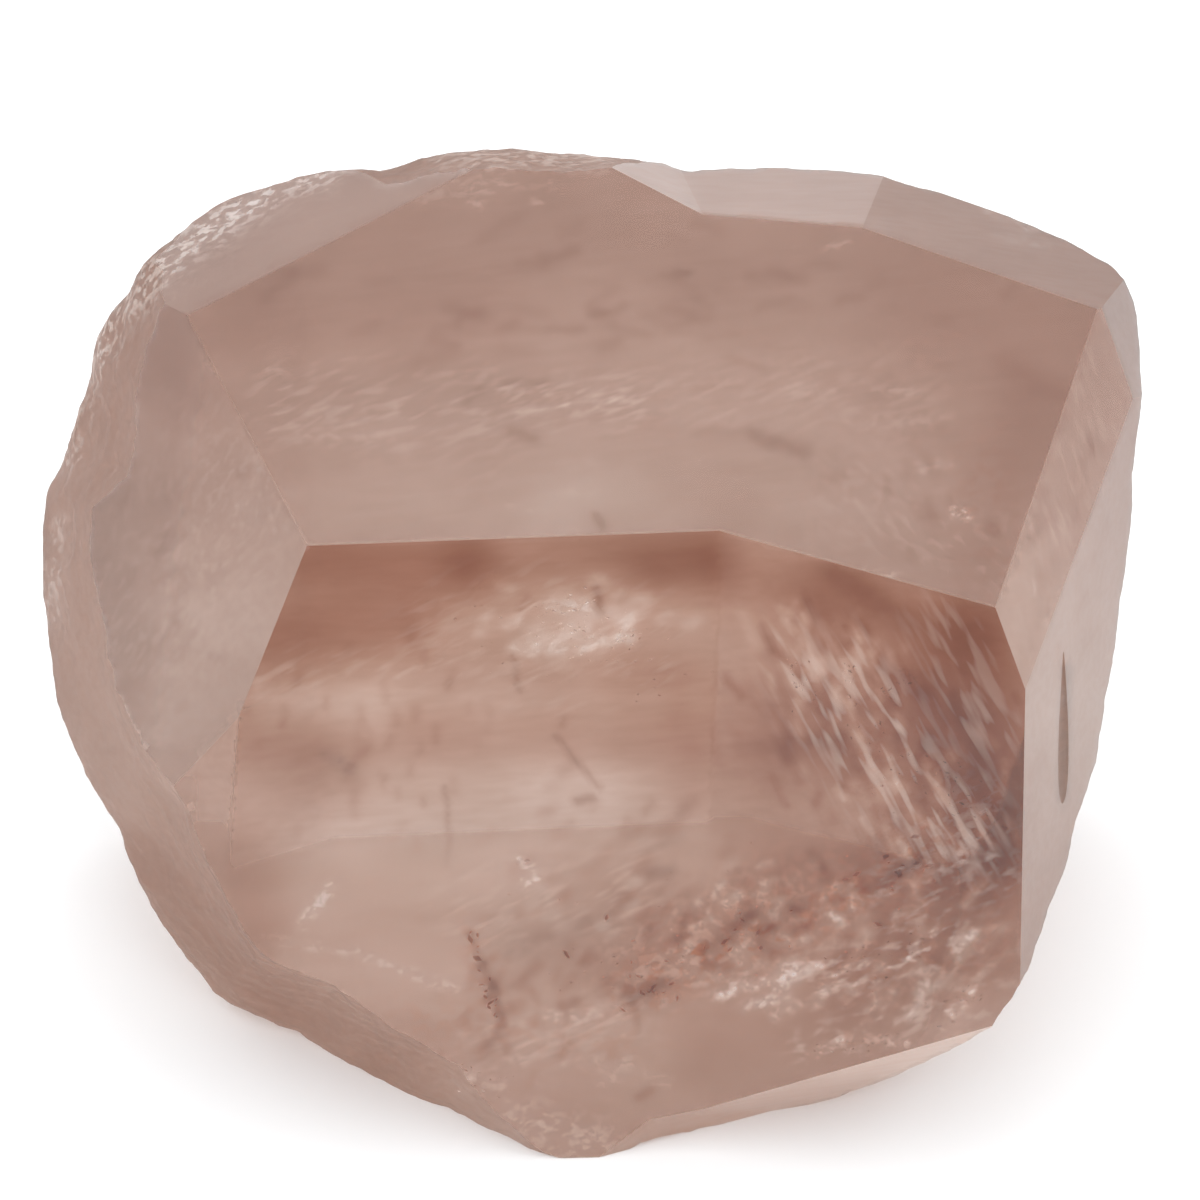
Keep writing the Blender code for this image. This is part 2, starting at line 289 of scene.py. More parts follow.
def scoop_depth(points, rear_share):
    """Bowls over a sphere of directions: one minus the squared gap to the nearest bowl's middle over its
    width, never below zero. Neighbouring bowls meet in ridges. The depth grows from the rim to the rear."""
    rng = np.random.default_rng(SCOOP_SEED)
    ways = unit(points - HEART)
    total = np.zeros(len(points))
    for count, width, rim_depth, rear_depth in SCOOPS:
        centres = unit(rng.normal(size=(count, 3)))
        parts = np.array_split(ways, SEARCH_PARTS)
        near = np.concatenate([np.max(part @ centres.T, axis=1) for part in parts])
        gap = np.sqrt(np.maximum(0.0, 2.0 - 2.0 * near)) * SCOOP_SPHERE
        total += bowl(gap, width * MM) * (rim_depth + (rear_depth - rim_depth) * rear_share) * MM
    return total


def chip_depth(points):
    """One bowl for each listed chip: the deepest one that reaches the point counts."""
    angle, forward, width, depth = CHIPS.T
    radius, offset, _ = around_rim(angle)
    centres = on_rim(angle, radius, offset + forward * MM)
    deepest = np.zeros(len(points))
    for centre, reach, press in zip(centres, width * MM, depth * MM):
        gap = np.linalg.norm(points - centre, axis=1)
        deepest = np.maximum(deepest, press * bowl(gap, reach))
    return deepest


def cell_gap(points, size, seed):
    """Gap to the nearest of one random spot in every cell of a cubic lattice, in cells."""
    cell = np.floor(points / size)
    nearest = np.full(len(points), FAR_AWAY)
    steps = np.stack(np.meshgrid(*[[-1, 0, 1]] * 3, indexing="ij"), axis=-1).reshape(-1, 3)
    for step in steps:
        corner = cell + step
        spot = corner + np.modf(np.abs(np.sin(corner @ SCATTER + seed)) * SCATTER_SPREAD)[0]
        nearest = np.minimum(nearest, np.linalg.norm(points / size - spot, axis=1))
    return nearest


print("chips:", len(CHIPS))

# %% [markdown]
# The fine chips, a few tenths of a millimetre wide, are cells of random spots in space: each cell is a
# small bowl. Ripples run along the lower left of the rim, where the break spread out in arcs. They are a
# sine of the way forward, bent by a slow wave so that they don't look ruled.

# %% Fine chips and ripples
# Fine chips: width and depth in mm, and a seed.
FINE_CHIPS = ((0.9, 0.10, 3.0), (0.42, 0.045, 8.0))
RIPPLE_STEP = 0.85 * MM
RIPPLE_DEPTH = 0.030 * MM
RIPPLE_START = 182.0
RIPPLE_END = 264.0
FADE_IN = 14.0
FADE_OUT = 8.0


def fine_depth(points, angles, along):
    """Bowls of the small cells, plus arcs: a sine of the way forward, faded in over the lower left."""
    total = np.zeros(len(points))
    for size, depth, seed in FINE_CHIPS:
        total += bowl(cell_gap(points, size * MM, seed), 1.0) * depth * MM
    fade_in = np.clip((angles - RIPPLE_START) / FADE_IN, 0.0, 1.0)
    fade_out = np.clip((RIPPLE_END - angles) / FADE_OUT, 0.0, 1.0)
    wander = np.sin(np.radians(angles) * 5.0) + 0.5 * np.sin(np.radians(angles) * 13.0 + 1.0)
    phase = along / RIPPLE_STEP * 2.0 * np.pi + wander
    total += fade_in * fade_out * (1.0 - np.abs(np.sin(phase / 2.0))) * RIPPLE_DEPTH
    return total


# %% [markdown]
# The whole lump is one grid, like the lines on a globe: columns run around the rim, rows run from the rear
# pole to the front pole. Most rows lie close to the rim, where the chips are, and few at the poles, which
# the flat faces cut away.

# %% The lump as a grid
COLUMNS = 880
NEAR_ROWS = 64
FAR_ROWS = 8
REAR_ROWS = 84
NEAR_SHARE = 0.30
FRONT_REACH = 34.0 * MM
FRONT_FULLNESS = 3.0
REAR_REACH = 27.0 * MM
REAR_FULLNESS = 3.2
ROUND_OFF_DEPTH = 5.5 * MM
ROUND_OFF_POWER = 1.6
REAR_RISE = 3.0


def lump_grid():
    """Rows of points from the rear to the front. Rear share s runs as a sine, and the ring there is
    radius * (1 - s^3.2)^(1/3.2). Front share s gives radius less the round-off, times (1 - s^3)^(1/3)."""
    angles = np.arange(COLUMNS) * 360.0 / COLUMNS
    radius, offset, round_off = around_rim(angles)
    rear = np.sin(np.arange(REAR_ROWS - 1, -1, -1) / REAR_ROWS * np.pi / 2)[:, None]
    near = np.arange(1, NEAR_ROWS + 1) / NEAR_ROWS * NEAR_SHARE
    far = NEAR_SHARE + np.arange(1, FAR_ROWS) / FAR_ROWS * (1.0 - NEAR_SHARE)
    front = np.concatenate([near, far])[:, None]
    bend = (FRONT_REACH * front / ROUND_OFF_DEPTH) ** ROUND_OFF_POWER
    front_ring = radius - round_off * bend / (1.0 + bend)
    front_ring = front_ring * (1.0 - front**FRONT_FULLNESS) ** (1.0 / FRONT_FULLNESS)
    rear_ring = radius * (1.0 - rear**REAR_FULLNESS) ** (1.0 / REAR_FULLNESS)
    ring = np.concatenate([rear_ring, front_ring])
    along = np.concatenate([-REAR_REACH * rear, FRONT_REACH * front])
    share = np.concatenate([rear, front])
    turn = np.broadcast_to(angles, ring.shape)
    points = on_rim(turn, ring, along + offset * (1.0 - share)).reshape(-1, 3)
    rear_share = np.concatenate([np.minimum(1.0, REAR_RISE * rear), np.zeros_like(front)])
    rear_share = np.broadcast_to(rear_share, ring.shape).ravel()
    way = np.broadcast_to(along, ring.shape).ravel()
    pressed = scoop_depth(points, rear_share) + chip_depth(points) + fine_depth(points, turn.ravel(), way)
    return points + unit(HEART - points) * pressed[:, None]


def closed_skin(name, points, columns, poles):
    """A mesh of rows of points: neighbours make squares, and a fan to a pole closes either end."""
    index = np.arange(len(points)).reshape(-1, columns)
    after = np.roll(index, -1, axis=1)
    squares = np.stack([index[:-1], after[:-1], after[1:], index[1:]], axis=-1).reshape(-1, 4)
    first_fan = np.stack([after[0], index[0], np.full(columns, len(points))], axis=-1)
    last_fan = np.stack([index[-1], after[-1], np.full(columns, len(points) + 1)], axis=-1)
    mesh = bpy.data.meshes.new(name)
    faces = squares.tolist() + first_fan.tolist() + last_fan.tolist()
    mesh.from_pydata(np.concatenate([points, poles]).tolist(), [], faces)
    return mesh


lump_poles = np.stack([HEART - REAR_REACH * FORWARD, HEART + FRONT_REACH * FORWARD])
crystal = placed("clear_crystal", closed_skin("clear_crystal", lump_grid(), COLUMNS, lump_poles))
print("lump faces:", len(crystal.data.polygons))

# %% [markdown]
# ## Cutting the faces
# Flat faces are cut with Booleans: the lump is kept only where it lies inside a block bounded by all the
# planes, and each notch is taken away. Real edges are never knife-sharp, so each listed edge between two
# growth faces gets a narrow chamfer, which is one more plane in the block.

# %% Cutting tools
BLOCK_SIZE = 90.0 * MM
CHAMFER = 0.02 * MM


def facing_outwards(bm, mesh):
    """Writes a closed shape into the mesh with all its faces looking out, and lets go of the shape."""
    bmesh.ops.recalc_face_normals(bm, faces=bm.faces)
    if bm.calc_volume(signed=True) < 0:
        bmesh.ops.reverse_faces(bm, faces=bm.faces)
    bm.to_mesh(mesh)
    bm.free()


def block(name, sides):
    """A big cube around the heart, cut down to what lies behind every plane (normal, height)."""
    bm = bmesh.new()
    bmesh.ops.create_cube(bm, size=BLOCK_SIZE)
    bmesh.ops.translate(bm, verts=bm.verts, vec=Vector(HEART))
    for normal, height in sides:
        everything = bm.verts[:] + bm.edges[:] + bm.faces[:]
        where = {"plane_co": Vector(normal * height), "plane_no": Vector(normal)}
        cut = bmesh.ops.bisect_plane(bm, geom=everything, clear_outer=True, **where)
        rim = [part for part in cut["geom_cut"] if isinstance(part, bmesh.types.BMEdge)]
        if rim:
            bmesh.ops.edgeloop_fill(bm, edges=rim)
    mesh = bpy.data.meshes.new(name)
    facing_outwards(bm, mesh)
    return placed(name, mesh)


def carve(target, tool, operation):
    """One Boolean. The tool is removed afterwards."""
    modifier = target.modifiers.new("carve", "BOOLEAN")
    modifier.operation = operation
    modifier.solver = "MANIFOLD"
    modifier.object = tool
    graph = bpy.context.evaluated_depsgraph_get()
    carved = bpy.data.meshes.new_from_object(target.evaluated_get(graph))
    target.modifiers.clear()
    target.data = carved
    bpy.data.objects.remove(tool)


def chamfer(first, second, width):
    """The plane halfway between two faces, moved in so that it trims their shared edge by this width."""
    (n1, h1), (n2, h2) = first, second
    middle = unit(n1 + n2)
    edge_height = (h1 + h2) / (1.0 + np.dot(n1, n2)) * np.dot(middle, n1)
    half_turn = np.arccos(np.clip(np.dot(n1, middle), -1.0, 1.0))
    return middle, edge_height - width / 2.0 * np.sin(half_turn)


def beyond(sides):
    """The same planes turned round, so that a block keeps what lies outside them."""
    return [(-normal, -height) for normal, height in sides]


WORN_EDGES = (
    ("roof", "left_shoulder"), ("roof", "right_bevel"), ("left_shoulder", "left_prism"),
    ("right_bevel", "right_prism"), ("right_bevel", "right_corner"), ("right_corner", "right_prism"),
    ("roof", "rear_slope"), ("roof", "left_break"),
)
FOOT = (np.array([0.0, 0.0, -1.0]), 0.0)
flat_sides = [FOOT] + list(PLANES.values())
worn_sides = [chamfer(PLANES[a], PLANES[b], CHAMFER) for a, b in WORN_EDGES]
carve(crystal, block("faces", flat_sides + worn_sides), "INTERSECT")
for name, pair in NOTCH_PLANES.items():
    carve(crystal, block(name, beyond(pair)), "DIFFERENCE")
for near, other in (NOTCH_PLANES["front"], NOTCH_PLANES["front"][::-1]):
    worn_sides.append(chamfer(PLANES["roof"], near, CHAMFER))
    carve(crystal, block("worn", beyond([worn_sides[-1], other])), "DIFFERENCE")
print("carved faces:", len(crystal.data.polygons))

# %% [markdown]
# ## The etch scar
# On the right prism face a lens-shaped scar was eaten into the crystal. It is a flattened ball, narrowed
# towards its top, sunk into the face and subtracted.

# %% Etch scar
SCAR_CENTRE = np.array([20.2, -8.3, 2.2]) * MM
SCAR_TILT = np.radians(15.0)
SCAR_LENGTH = 7.0 * MM
SCAR_WIDTH = 1.9 * MM
SCAR_DEPTH = 0.30 * MM
SCAR_TAPER = 0.38
SCAR_ROUGHNESS = 0.10
SCAR_LIFT = 0.012 * MM
SCAR_ROWS = 40
SCAR_COLUMNS = 40


def etch_scar():
    """A ball whose width at height z is (1 - taper * (1 + z)) of the full one, flat along the normal."""
    normal, height = PLANES["right_prism"]
    uphill = unit(np.array([0.0, 0.0, 1.0]) - normal * normal[2])
    along = np.cos(SCAR_TILT) * uphill + np.sin(SCAR_TILT) * np.cross(uphill, normal)
    across = np.cross(along, normal)
    centre = HEART + SCAR_CENTRE
    centre = centre + normal * (height + SCAR_LIFT - centre @ normal)
    tilt = (np.arange(SCAR_ROWS + 1) / SCAR_ROWS * np.pi)[:, None]
    turn = (np.arange(SCAR_COLUMNS) + 0.5) / SCAR_COLUMNS * 2.0 * np.pi
    z = np.cos(tilt) * np.ones(SCAR_COLUMNS)
    x = np.sin(tilt) * np.cos(turn)
    y = np.sin(tilt) * np.sin(turn)
    wide = (1.0 - SCAR_TAPER * (1.0 + z)) * SCAR_WIDTH / 2
    rough = 1.0 + SCAR_ROUGHNESS * np.sin(9.0 * z + 2.0 * x) * np.sin(7.0 * turn)
    points = centre + (x * wide)[..., None] * across + (z * SCAR_LENGTH / 2)[..., None] * along
    points = (points + (y * rough * SCAR_DEPTH)[..., None] * normal)[1:-1].reshape(-1, 3)
    poles = centre + np.array([[1.0], [-1.0]]) * SCAR_LENGTH / 2 * along
    mesh = closed_skin("scar", points, SCAR_COLUMNS, poles)
    bm = bmesh.new()
    bm.from_mesh(mesh)
    facing_outwards(bm, mesh)
    return placed("scar", mesh)


carve(crystal, etch_scar(), "DIFFERENCE")
print("with the scar:", len(crystal.data.polygons))

# %% [markdown]
# ## Flat faces, refilled
# A Boolean leaves each flat face as a few long slivers. Tones painted on such a face would smear, so the
# flat faces are filled again with small, even triangles, finest where the eye looks first. Their long edges
# get the same new points on both sides, so the skin stays closed.

# %% Flat and broken surfaces
ON_PLANE = 0.002 * MM
SIDE_NAMES = ["foot"] + list(PLANES) + [f"{name}_{k}" for name in NOTCH_PLANES for k in (1, 2)]
SIDE_NAMES += ["worn_edge"] * len(worn_sides)
ALL_SIDES = flat_sides + [side for pair in NOTCH_PLANES.values() for side in pair] + worn_sides


def mesh_arrays(mesh):
    """Points and triangles of a mesh."""
    mesh.calc_loop_triangles()
    points = np.empty(len(mesh.vertices) * 3)
    mesh.vertices.foreach_get("co", points)
    triangles = np.empty(len(mesh.loop_triangles) * 3, dtype=np.int64)
    mesh.loop_triangles.foreach_get("vertices", triangles)
    return points.reshape(-1, 3), triangles.reshape(-1, 3)


def side_kinds(points, triangles):
    """For every triangle: the number of the plane it lies on, or -1 on the broken surface."""
    corners = points[triangles]
    kinds = np.full(len(triangles), -1)
    for number, (way, height) in enumerate(ALL_SIDES):
        kinds[(np.abs(corners @ way - height) < ON_PLANE).all(axis=1)] = number
    return kinds


POINTS, TRIANGLES = mesh_arrays(crystal.data)
KINDS = side_kinds(POINTS, TRIANGLES)
print("triangles:", len(KINDS), "broken:", int((KINDS < 0).sum()))

# %% Even filling
# The lengths of the triangles' sides, in mm.
FILL_STEP = {
    "roof": 0.22, "front_1": 0.21, "front_2": 0.21, "left_shoulder": 0.35, "left_prism": 0.35, "foot": 1.0,
}
OTHER_STEP = 0.55
REAR_STEP = 0.9
REAR_SIDES = ("rear_prism_right", "rear_prism_middle", "rear_prism_left")
FILL_STEP.update({name: REAR_STEP for name in REAR_SIDES})
ROW_STEP = 0.866
EDGE_GAP = 0.45
SAME_SPOT = 1e-7
NO_AREA = 1e-6
SMOOTH_ANGLE = np.radians(35.0)


def inside_outline(spots, starts, ends):
    """Even-odd rule: inside is where a level line to the right crosses the outline an odd number of times."""
    inside = np.zeros(len(spots), dtype=bool)
    for (x1, y1), (x2, y2) in zip(starts, ends):
        if y1 != y2:
            crosses = (spots[:, 1] < max(y1, y2)) & (spots[:, 1] >= min(y1, y2))
            inside ^= crosses & (spots[:, 0] < x1 + (spots[:, 1] - y1) * (x2 - x1) / (y2 - y1))
    return inside


def gap_to_outline(spots, starts, ends):
    """Shortest distance from every spot to the outline's straight pieces."""
    least = np.full(len(spots), np.inf)
    for start, end in zip(starts, ends):
        run = end - start
        share = np.clip((spots - start) @ run / max(run @ run, 1e-12), 0.0, 1.0)
        least = np.minimum(least, np.linalg.norm(spots - start - share[:, None] * run, axis=1))
    return least


print("finest step, mm:", min(FILL_STEP.values()))

# %% [markdown]
# Two faces share an edge. If each were filled on its own, gaps would open between their new points, so the
# points on the shared edges are made first and used by both.

# %% Shared edges
def edges_of(triangles):
    """The three edges of every triangle, each from its first point to its second."""
    return np.concatenate([triangles[:, [0, 1]], triangles[:, [1, 2]], triangles[:, [2, 0]]])


def outline_edges(triangles):
    """The edges of a region that only one of its triangles has."""
    both_ways = set(map(tuple, edges_of(triangles).tolist()))
    return sorted(edge for edge in both_ways if edge[::-1] not in both_ways)


def merged(triangles, kinds, count, twins):
    """The triangles after each pair of twin points is made one, without those that shrink to a line. Also
    gives, for each of the points, the number of the point that stands for it."""
    same = np.arange(count)
    for first, second in twins:
        same[same == same[first]] = same[second]
    a, b, c = same[triangles].T
    whole = (a != b) & (b != c) & (c != a)
    return same[triangles[whole]], kinds[whole], same


def split_shared_edges(points, triangles, kinds, longest):
    """New points along each long edge between two flat faces, and for each such edge the points on it."""
    owner = {}
    for number in range(len(ALL_SIDES)):
        if (kinds == number).any():
            owner.update(dict.fromkeys(outline_edges(triangles[kinds == number]), number))
    chains = {}
    for first, second in sorted(owner):
        length = np.linalg.norm(points[second] - points[first]) / MM
        if first < second and (second, first) in owner and length > longest:
            share = np.arange(1, np.ceil(length / longest))[:, None] / np.ceil(length / longest)
            numbers = list(range(len(points), len(points) + len(share)))
            points = np.concatenate([points, points[first] * (1.0 - share) + points[second] * share])
            chains[first, second] = numbers
            chains[second, first] = numbers[::-1]
    return points, chains


POINTS, CHAINS = split_shared_edges(POINTS, TRIANGLES, KINDS, OTHER_STEP)
print("shared edges with new points:", len(CHAINS) // 2)

# %% [markdown]
# A lattice of points is laid inside each outline, each row moved by half a step. Delaunay's rule then joins
# them to the outline with triangles as even as can be.

# %% New triangles
def refill(points, triangles, normal, step, chains):
    """Replaces a flat region's triangles by a staggered lattice inside its outline, joined by Delaunay."""
    outline = []
    for first, second in outline_edges(triangles):
        run = [first] + chains.get((first, second), []) + [second]
        outline += list(zip(run[:-1], run[1:]))
    outline = np.array(outline)
    used, local = np.unique(outline, return_inverse=True)
    local = local.reshape(-1, 2)
    across = unit(np.cross([0.0, 0.0, 1.0] if abs(normal[2]) < 0.99 else [0.0, 1.0, 0.0], normal))
    along = np.cross(normal, across)
    flat = np.stack([points[used] @ across, points[used] @ along], axis=1) / MM
    starts, ends = flat[local[:, 0]], flat[local[:, 1]]
    low, high = flat.min(axis=0), flat.max(axis=0)
    rows = np.arange(low[1], high[1], step * ROW_STEP)
    columns = np.arange(low[0] - step, high[0], step)
    lattice = np.stack(np.meshgrid(columns, rows), axis=-1)
    lattice[1::2, :, 0] += step / 2
    lattice = lattice.reshape(-1, 2)
    lattice = lattice[inside_outline(lattice, starts, ends)]
    lattice = lattice[gap_to_outline(lattice, starts, ends) > EDGE_GAP * step]
    spots = np.concatenate([flat, lattice])
    result = delaunay_2d_cdt([Vector(spot) for spot in spots], local.tolist(), [], 1, SAME_SPOT)
    fresh = np.array([given[0] if given else -1 for given in result[3]])
    faces = fresh[np.array([face for face in result[2] if len(face) == 3])]
    faces = faces[(faces >= 0).all(axis=1)]
    a, b, c = spots[faces].transpose(1, 0, 2)
    size = (b[:, 0] - a[:, 0]) * (c[:, 1] - a[:, 1]) - (b[:, 1] - a[:, 1]) * (c[:, 0] - a[:, 0])
    faces = faces[inside_outline((a + b + c) / 3.0, starts, ends) | (size < NO_AREA)]
    height = float(np.mean(points[used] @ normal))
    added = lattice[:, :1] * MM * across + lattice[:, 1:] * MM * along + height * normal
    number = np.concatenate([used, np.arange(len(lattice)) + len(points)])
    twins = [(number[other], number[given[0]]) for given in result[3] for other in given[1:]]
    return added, number[faces], twins


def weld_gaps(points, triangles, kinds, longest):
    """Joins the ends of the tiny edges that are not shared by two triangles, so that the skin is closed."""
    edges, uses = np.unique(np.sort(edges_of(triangles), axis=1), axis=0, return_counts=True)
    length = np.linalg.norm(points[edges[:, 0]] - points[edges[:, 1]], axis=1)
    return merged(triangles, kinds, len(points), edges[(uses != 2) & (length < longest)])[:2]


for number, name in enumerate(SIDE_NAMES):
    chosen = KINDS == number
    if chosen.any():
        step = FILL_STEP.get(name, OTHER_STEP)
        added, faces, twins = refill(POINTS, TRIANGLES[chosen], ALL_SIDES[number][0], step, CHAINS)
        POINTS = np.concatenate([POINTS, added])
        TRIANGLES = np.concatenate([TRIANGLES[~chosen], faces])
        KINDS = np.concatenate([KINDS[~chosen], np.full(len(faces), number)])
        TRIANGLES, KINDS, same = merged(TRIANGLES, KINDS, len(POINTS), twins)
        CHAINS = {(same[a], same[b]): same[run].tolist() for (a, b), run in CHAINS.items()}
        print("  filled", name, "with", len(faces))
TRIANGLES, KINDS = weld_gaps(POINTS, TRIANGLES, KINDS, ON_PLANE)
mesh = bpy.data.meshes.new("clear_crystal")
mesh.from_pydata(POINTS.tolist(), [], TRIANGLES.tolist())
crystal.data = mesh
crystal.data.polygons.foreach_set("use_smooth", KINDS < 0)
crystal.data.set_sharp_from_angle(angle=SMOOTH_ANGLE)
uses = np.unique(np.sort(edges_of(TRIANGLES), axis=1), axis=0, return_counts=True)[1]
print("triangles:", len(TRIANGLES), "edges not shared by two:", int((uses != 2).sum()))

# %% [markdown]
# ## Places in the picture
# The camera is known, so a spot inside the crystal can be found from where it is seen: follow the line of
# sight to the face it meets, bend it there as the law of refraction says, and go on by the wanted depth.

# %% Places in the picture
TOPAZ_INDEX = 1.62
PIXELS = PICTURE * LENS / SENSOR


def in_picture(points):
    """Where points appear in the picture, in pixels from its upper left corner."""
    seen = (points - EYE) @ VIEW
    return PICTURE / 2 - seen[:, 0] / seen[:, 2] * PIXELS, PICTURE / 2 + seen[:, 1] / seen[:, 2] * PIXELS


def sight(px, py):
    """Directions from the camera through spots of the picture."""
    x, y = (px - PICTURE / 2) / PIXELS, (PICTURE / 2 - py) / PIXELS
    return unit(x[:, None] * view_right + y[:, None] * view_up - view_back)


def look_in(px, py, depth):
    """Points at this depth, in metres, behind the face that is seen at spots of the picture."""
    way = sight(px, py)
    reach = np.full(len(way), -np.inf)
    normals = np.zeros_like(way)
    for normal, height in PLANES.values():
        toward = way @ normal
        meet = np.where(toward < 0.0, (height - EYE @ normal) / np.minimum(toward, -1e-9), -np.inf)
        normals[meet > reach] = normal
        reach = np.maximum(reach, meet)
    (n1, h1), (n2, h2) = NOTCH_PLANES["front"]
    meet_1, meet_2 = (h1 - EYE @ n1) / (way @ n1), (h2 - EYE @ n2) / (way @ n2)
    notch = np.minimum(meet_1, meet_2)
    deeper = notch > reach
    normals[deeper] = np.where((meet_1 < meet_2)[:, None], n1, n2)[deeper]
    reach = np.maximum(reach, notch)
    cosine = -np.sum(way * normals, axis=1, keepdims=True)
    squeeze = 1.0 / TOPAZ_INDEX
    bent = squeeze * way + (squeeze * cosine - np.sqrt(1.0 - squeeze**2 * (1.0 - cosine**2))) * normals
    return EYE + way * reach[:, None] + bent * depth[:, None]


spot = look_in(np.array([600.0]), np.array([800.0]), np.array([5.0 * MM]))
print("5 mm behind the middle of the front, mm:", np.round(spot[0] / MM, 2).tolist())

# %% [markdown]
# ## Topaz
# Topaz is clear, bends light strongly and owes its colour to a trace of other atoms all through it, so the
# colour is an absorption in its volume: a longer way through the stone looks darker and redder. What lies
# on a face or just under it is painted on the corners of its triangles: frost, which scatters the light
# that passes; stains together with painted shade, which deepen or grey it, and painted light where a stroke
# takes some of that away; and milk, the bruised white that no longer lets all of it through, together with a
# few painted glints where flakes glitter.

# %% Tones of the faces
# How fast red, green and blue fade where the stone is deeper in colour. Where it is greyer, they fade
# alike.
TOPAZ_HUE = np.array([1.0, 1.75, 2.15])
# Each face's frost, and how much deeper and greyer than clear stone it is painted: painted shade that makes
# some faces look darker than others.
FROST_AND_SHADE = {
    "foot": (0.75, 0, 0), "roof": (0.1, 0.1, 0.08), "left_break": (0.25, 0.05, 0.15),
    "left_shoulder": (0.16, 0.1, 0.18), "left_prism": (0.05, 0.2, 0.05), "right_bevel": (0.25, 0.05, 0.05),
    "right_prism": (0.3, 0.05, 0.2), "right_corner": (0.3, 0.05, 0.25), "rear_slope": (0.5, 0.05, 0.15),
    "rear_prism_left": (0.8, 0, 0), "rear_prism_middle": (0.8, 0, 0), "rear_prism_right": (0.8, 0, 0),
    "front_1": (0.08, 0.1, 0), "front_2": (0.08, 0.1, 0), "undercut_1": (0.3, 0, 0),
    "undercut_2": (0.3, 0, 0), "ledge_1": (0.3, 0.05, 0.05), "ledge_2": (0.3, 0, 0.05),
    "worn_edge": (0.3, 0.05, 0.05),
}
BROKEN_FROST = 0.7
# How much deeper and greyer the broken rim is painted where the camera sees it: painted shade.
RIM_TONE = (0.08, 0.15)
# The back is painted deeper from the foot up, and a little towards its sides: painted shade for the darker
# tones that show through the front and the roof.
BACK_HEIGHTS = (0.0, 6.0, 26.0)
BACK_DEEPER = (0.0, 0.05, 0.45)
BACK_SIDES = 0.1
BACK_HALF_WIDTH = 20.0 * MM
CORNERS = POINTS[TRIANGLES].reshape(-1, 3)
CORNER_KINDS = np.repeat(KINDS, 3)
PX, PY = in_picture(CORNERS)
first, second, third = POINTS[TRIANGLES].transpose(1, 0, 2)
SEEN = np.repeat(np.sum(np.cross(second - first, third - first) * (EYE - first), axis=1) > 0.0, 3)
print("corners:", len(CORNERS), "seen by the camera:", int(SEEN.sum()))

# %% [markdown]
# The tones seen in the stone are uneven. Some are its own colour, and many are painted shade and painted
# light for what shows through the clear stone. They are laid like soft brush strokes in the picture. A
# stroke is straight and fades out beside its line. Each table below lists the strokes of one group of
# faces: from and to in the picture, reach, and then strengths.

# %% Broad strokes
# Deeper and greyer: painted shade, with some of the stone's own colour. Below zero is lighter: painted light.
SHADES = {
    "roof": """
260 260 560 230 70 .05 .05; 260 330 480 320 50 .1 0; 250 400 480 400 35 0 .05; 620 490 560 500 45 -.1 0
720 260 860 280 60 .05 .05; 930 320 1070 340 60 .1 0; 1030 420 980 560 50 .15 0; 640 440 720 500 40 .05 0""",
    "right_prism": "1067 670 1063 795 6 0 .35",
    "left_shoulder": "140 330 190 400 45 .15 0; 80 480 100 640 45 .05 .15; 150 500 260 500 45 .05 .05",
    "front": """
310 555 460 565 36 .4 0; 270 635 400 620 40 .4 0; 470 560 700 550 32 .25 .05; 640 570 706 570 36 .1 .05
460 670 540 680 40 .1 .05; 660 660 700 640 40 0 .05; 740 580 850 600 40 .25 0; 840 590 970 640 45 .2 0
980 640 1010 800 60 .35 0; 820 710 960 770 75 .55 0; 960 720 1000 850 40 .3 0; 780 860 990 880 40 .2 0
540 1020 640 1045 40 -.1 0; 420 720 560 720 30 .15 0; 250 750 310 770 50 .2 .05; 340 740 430 740 50 .05 0
640 700 760 760 65 .3 0; 640 960 900 850 45 .2 0; 900 900 1000 870 50 .35 -.05
860 970 990 950 45 .4 -.05; 330 890 460 900 60 -.15 0; 430 850 600 800 60 -.05 0; 520 940 600 930 40 0 .1
700 1040 860 1020 40 .1 0; 300 960 440 990 26 -.2 -.05; 260 700 690 700 18 -.1 0; 260 750 690 750 18 .1 0
680 680 690 800 26 .1 0; 660 570 706 560 30 .2 0; 900 690 960 640 45 .2 0; 240 850 260 920 40 .15 0""",
    "rim": """
450 1080 600 1130 45 -.08 -.05; 1067 670 1063 795 8 0 .3; 150 860 260 980 45 .15 0
300 1010 430 1070 35 .1 0""",
}
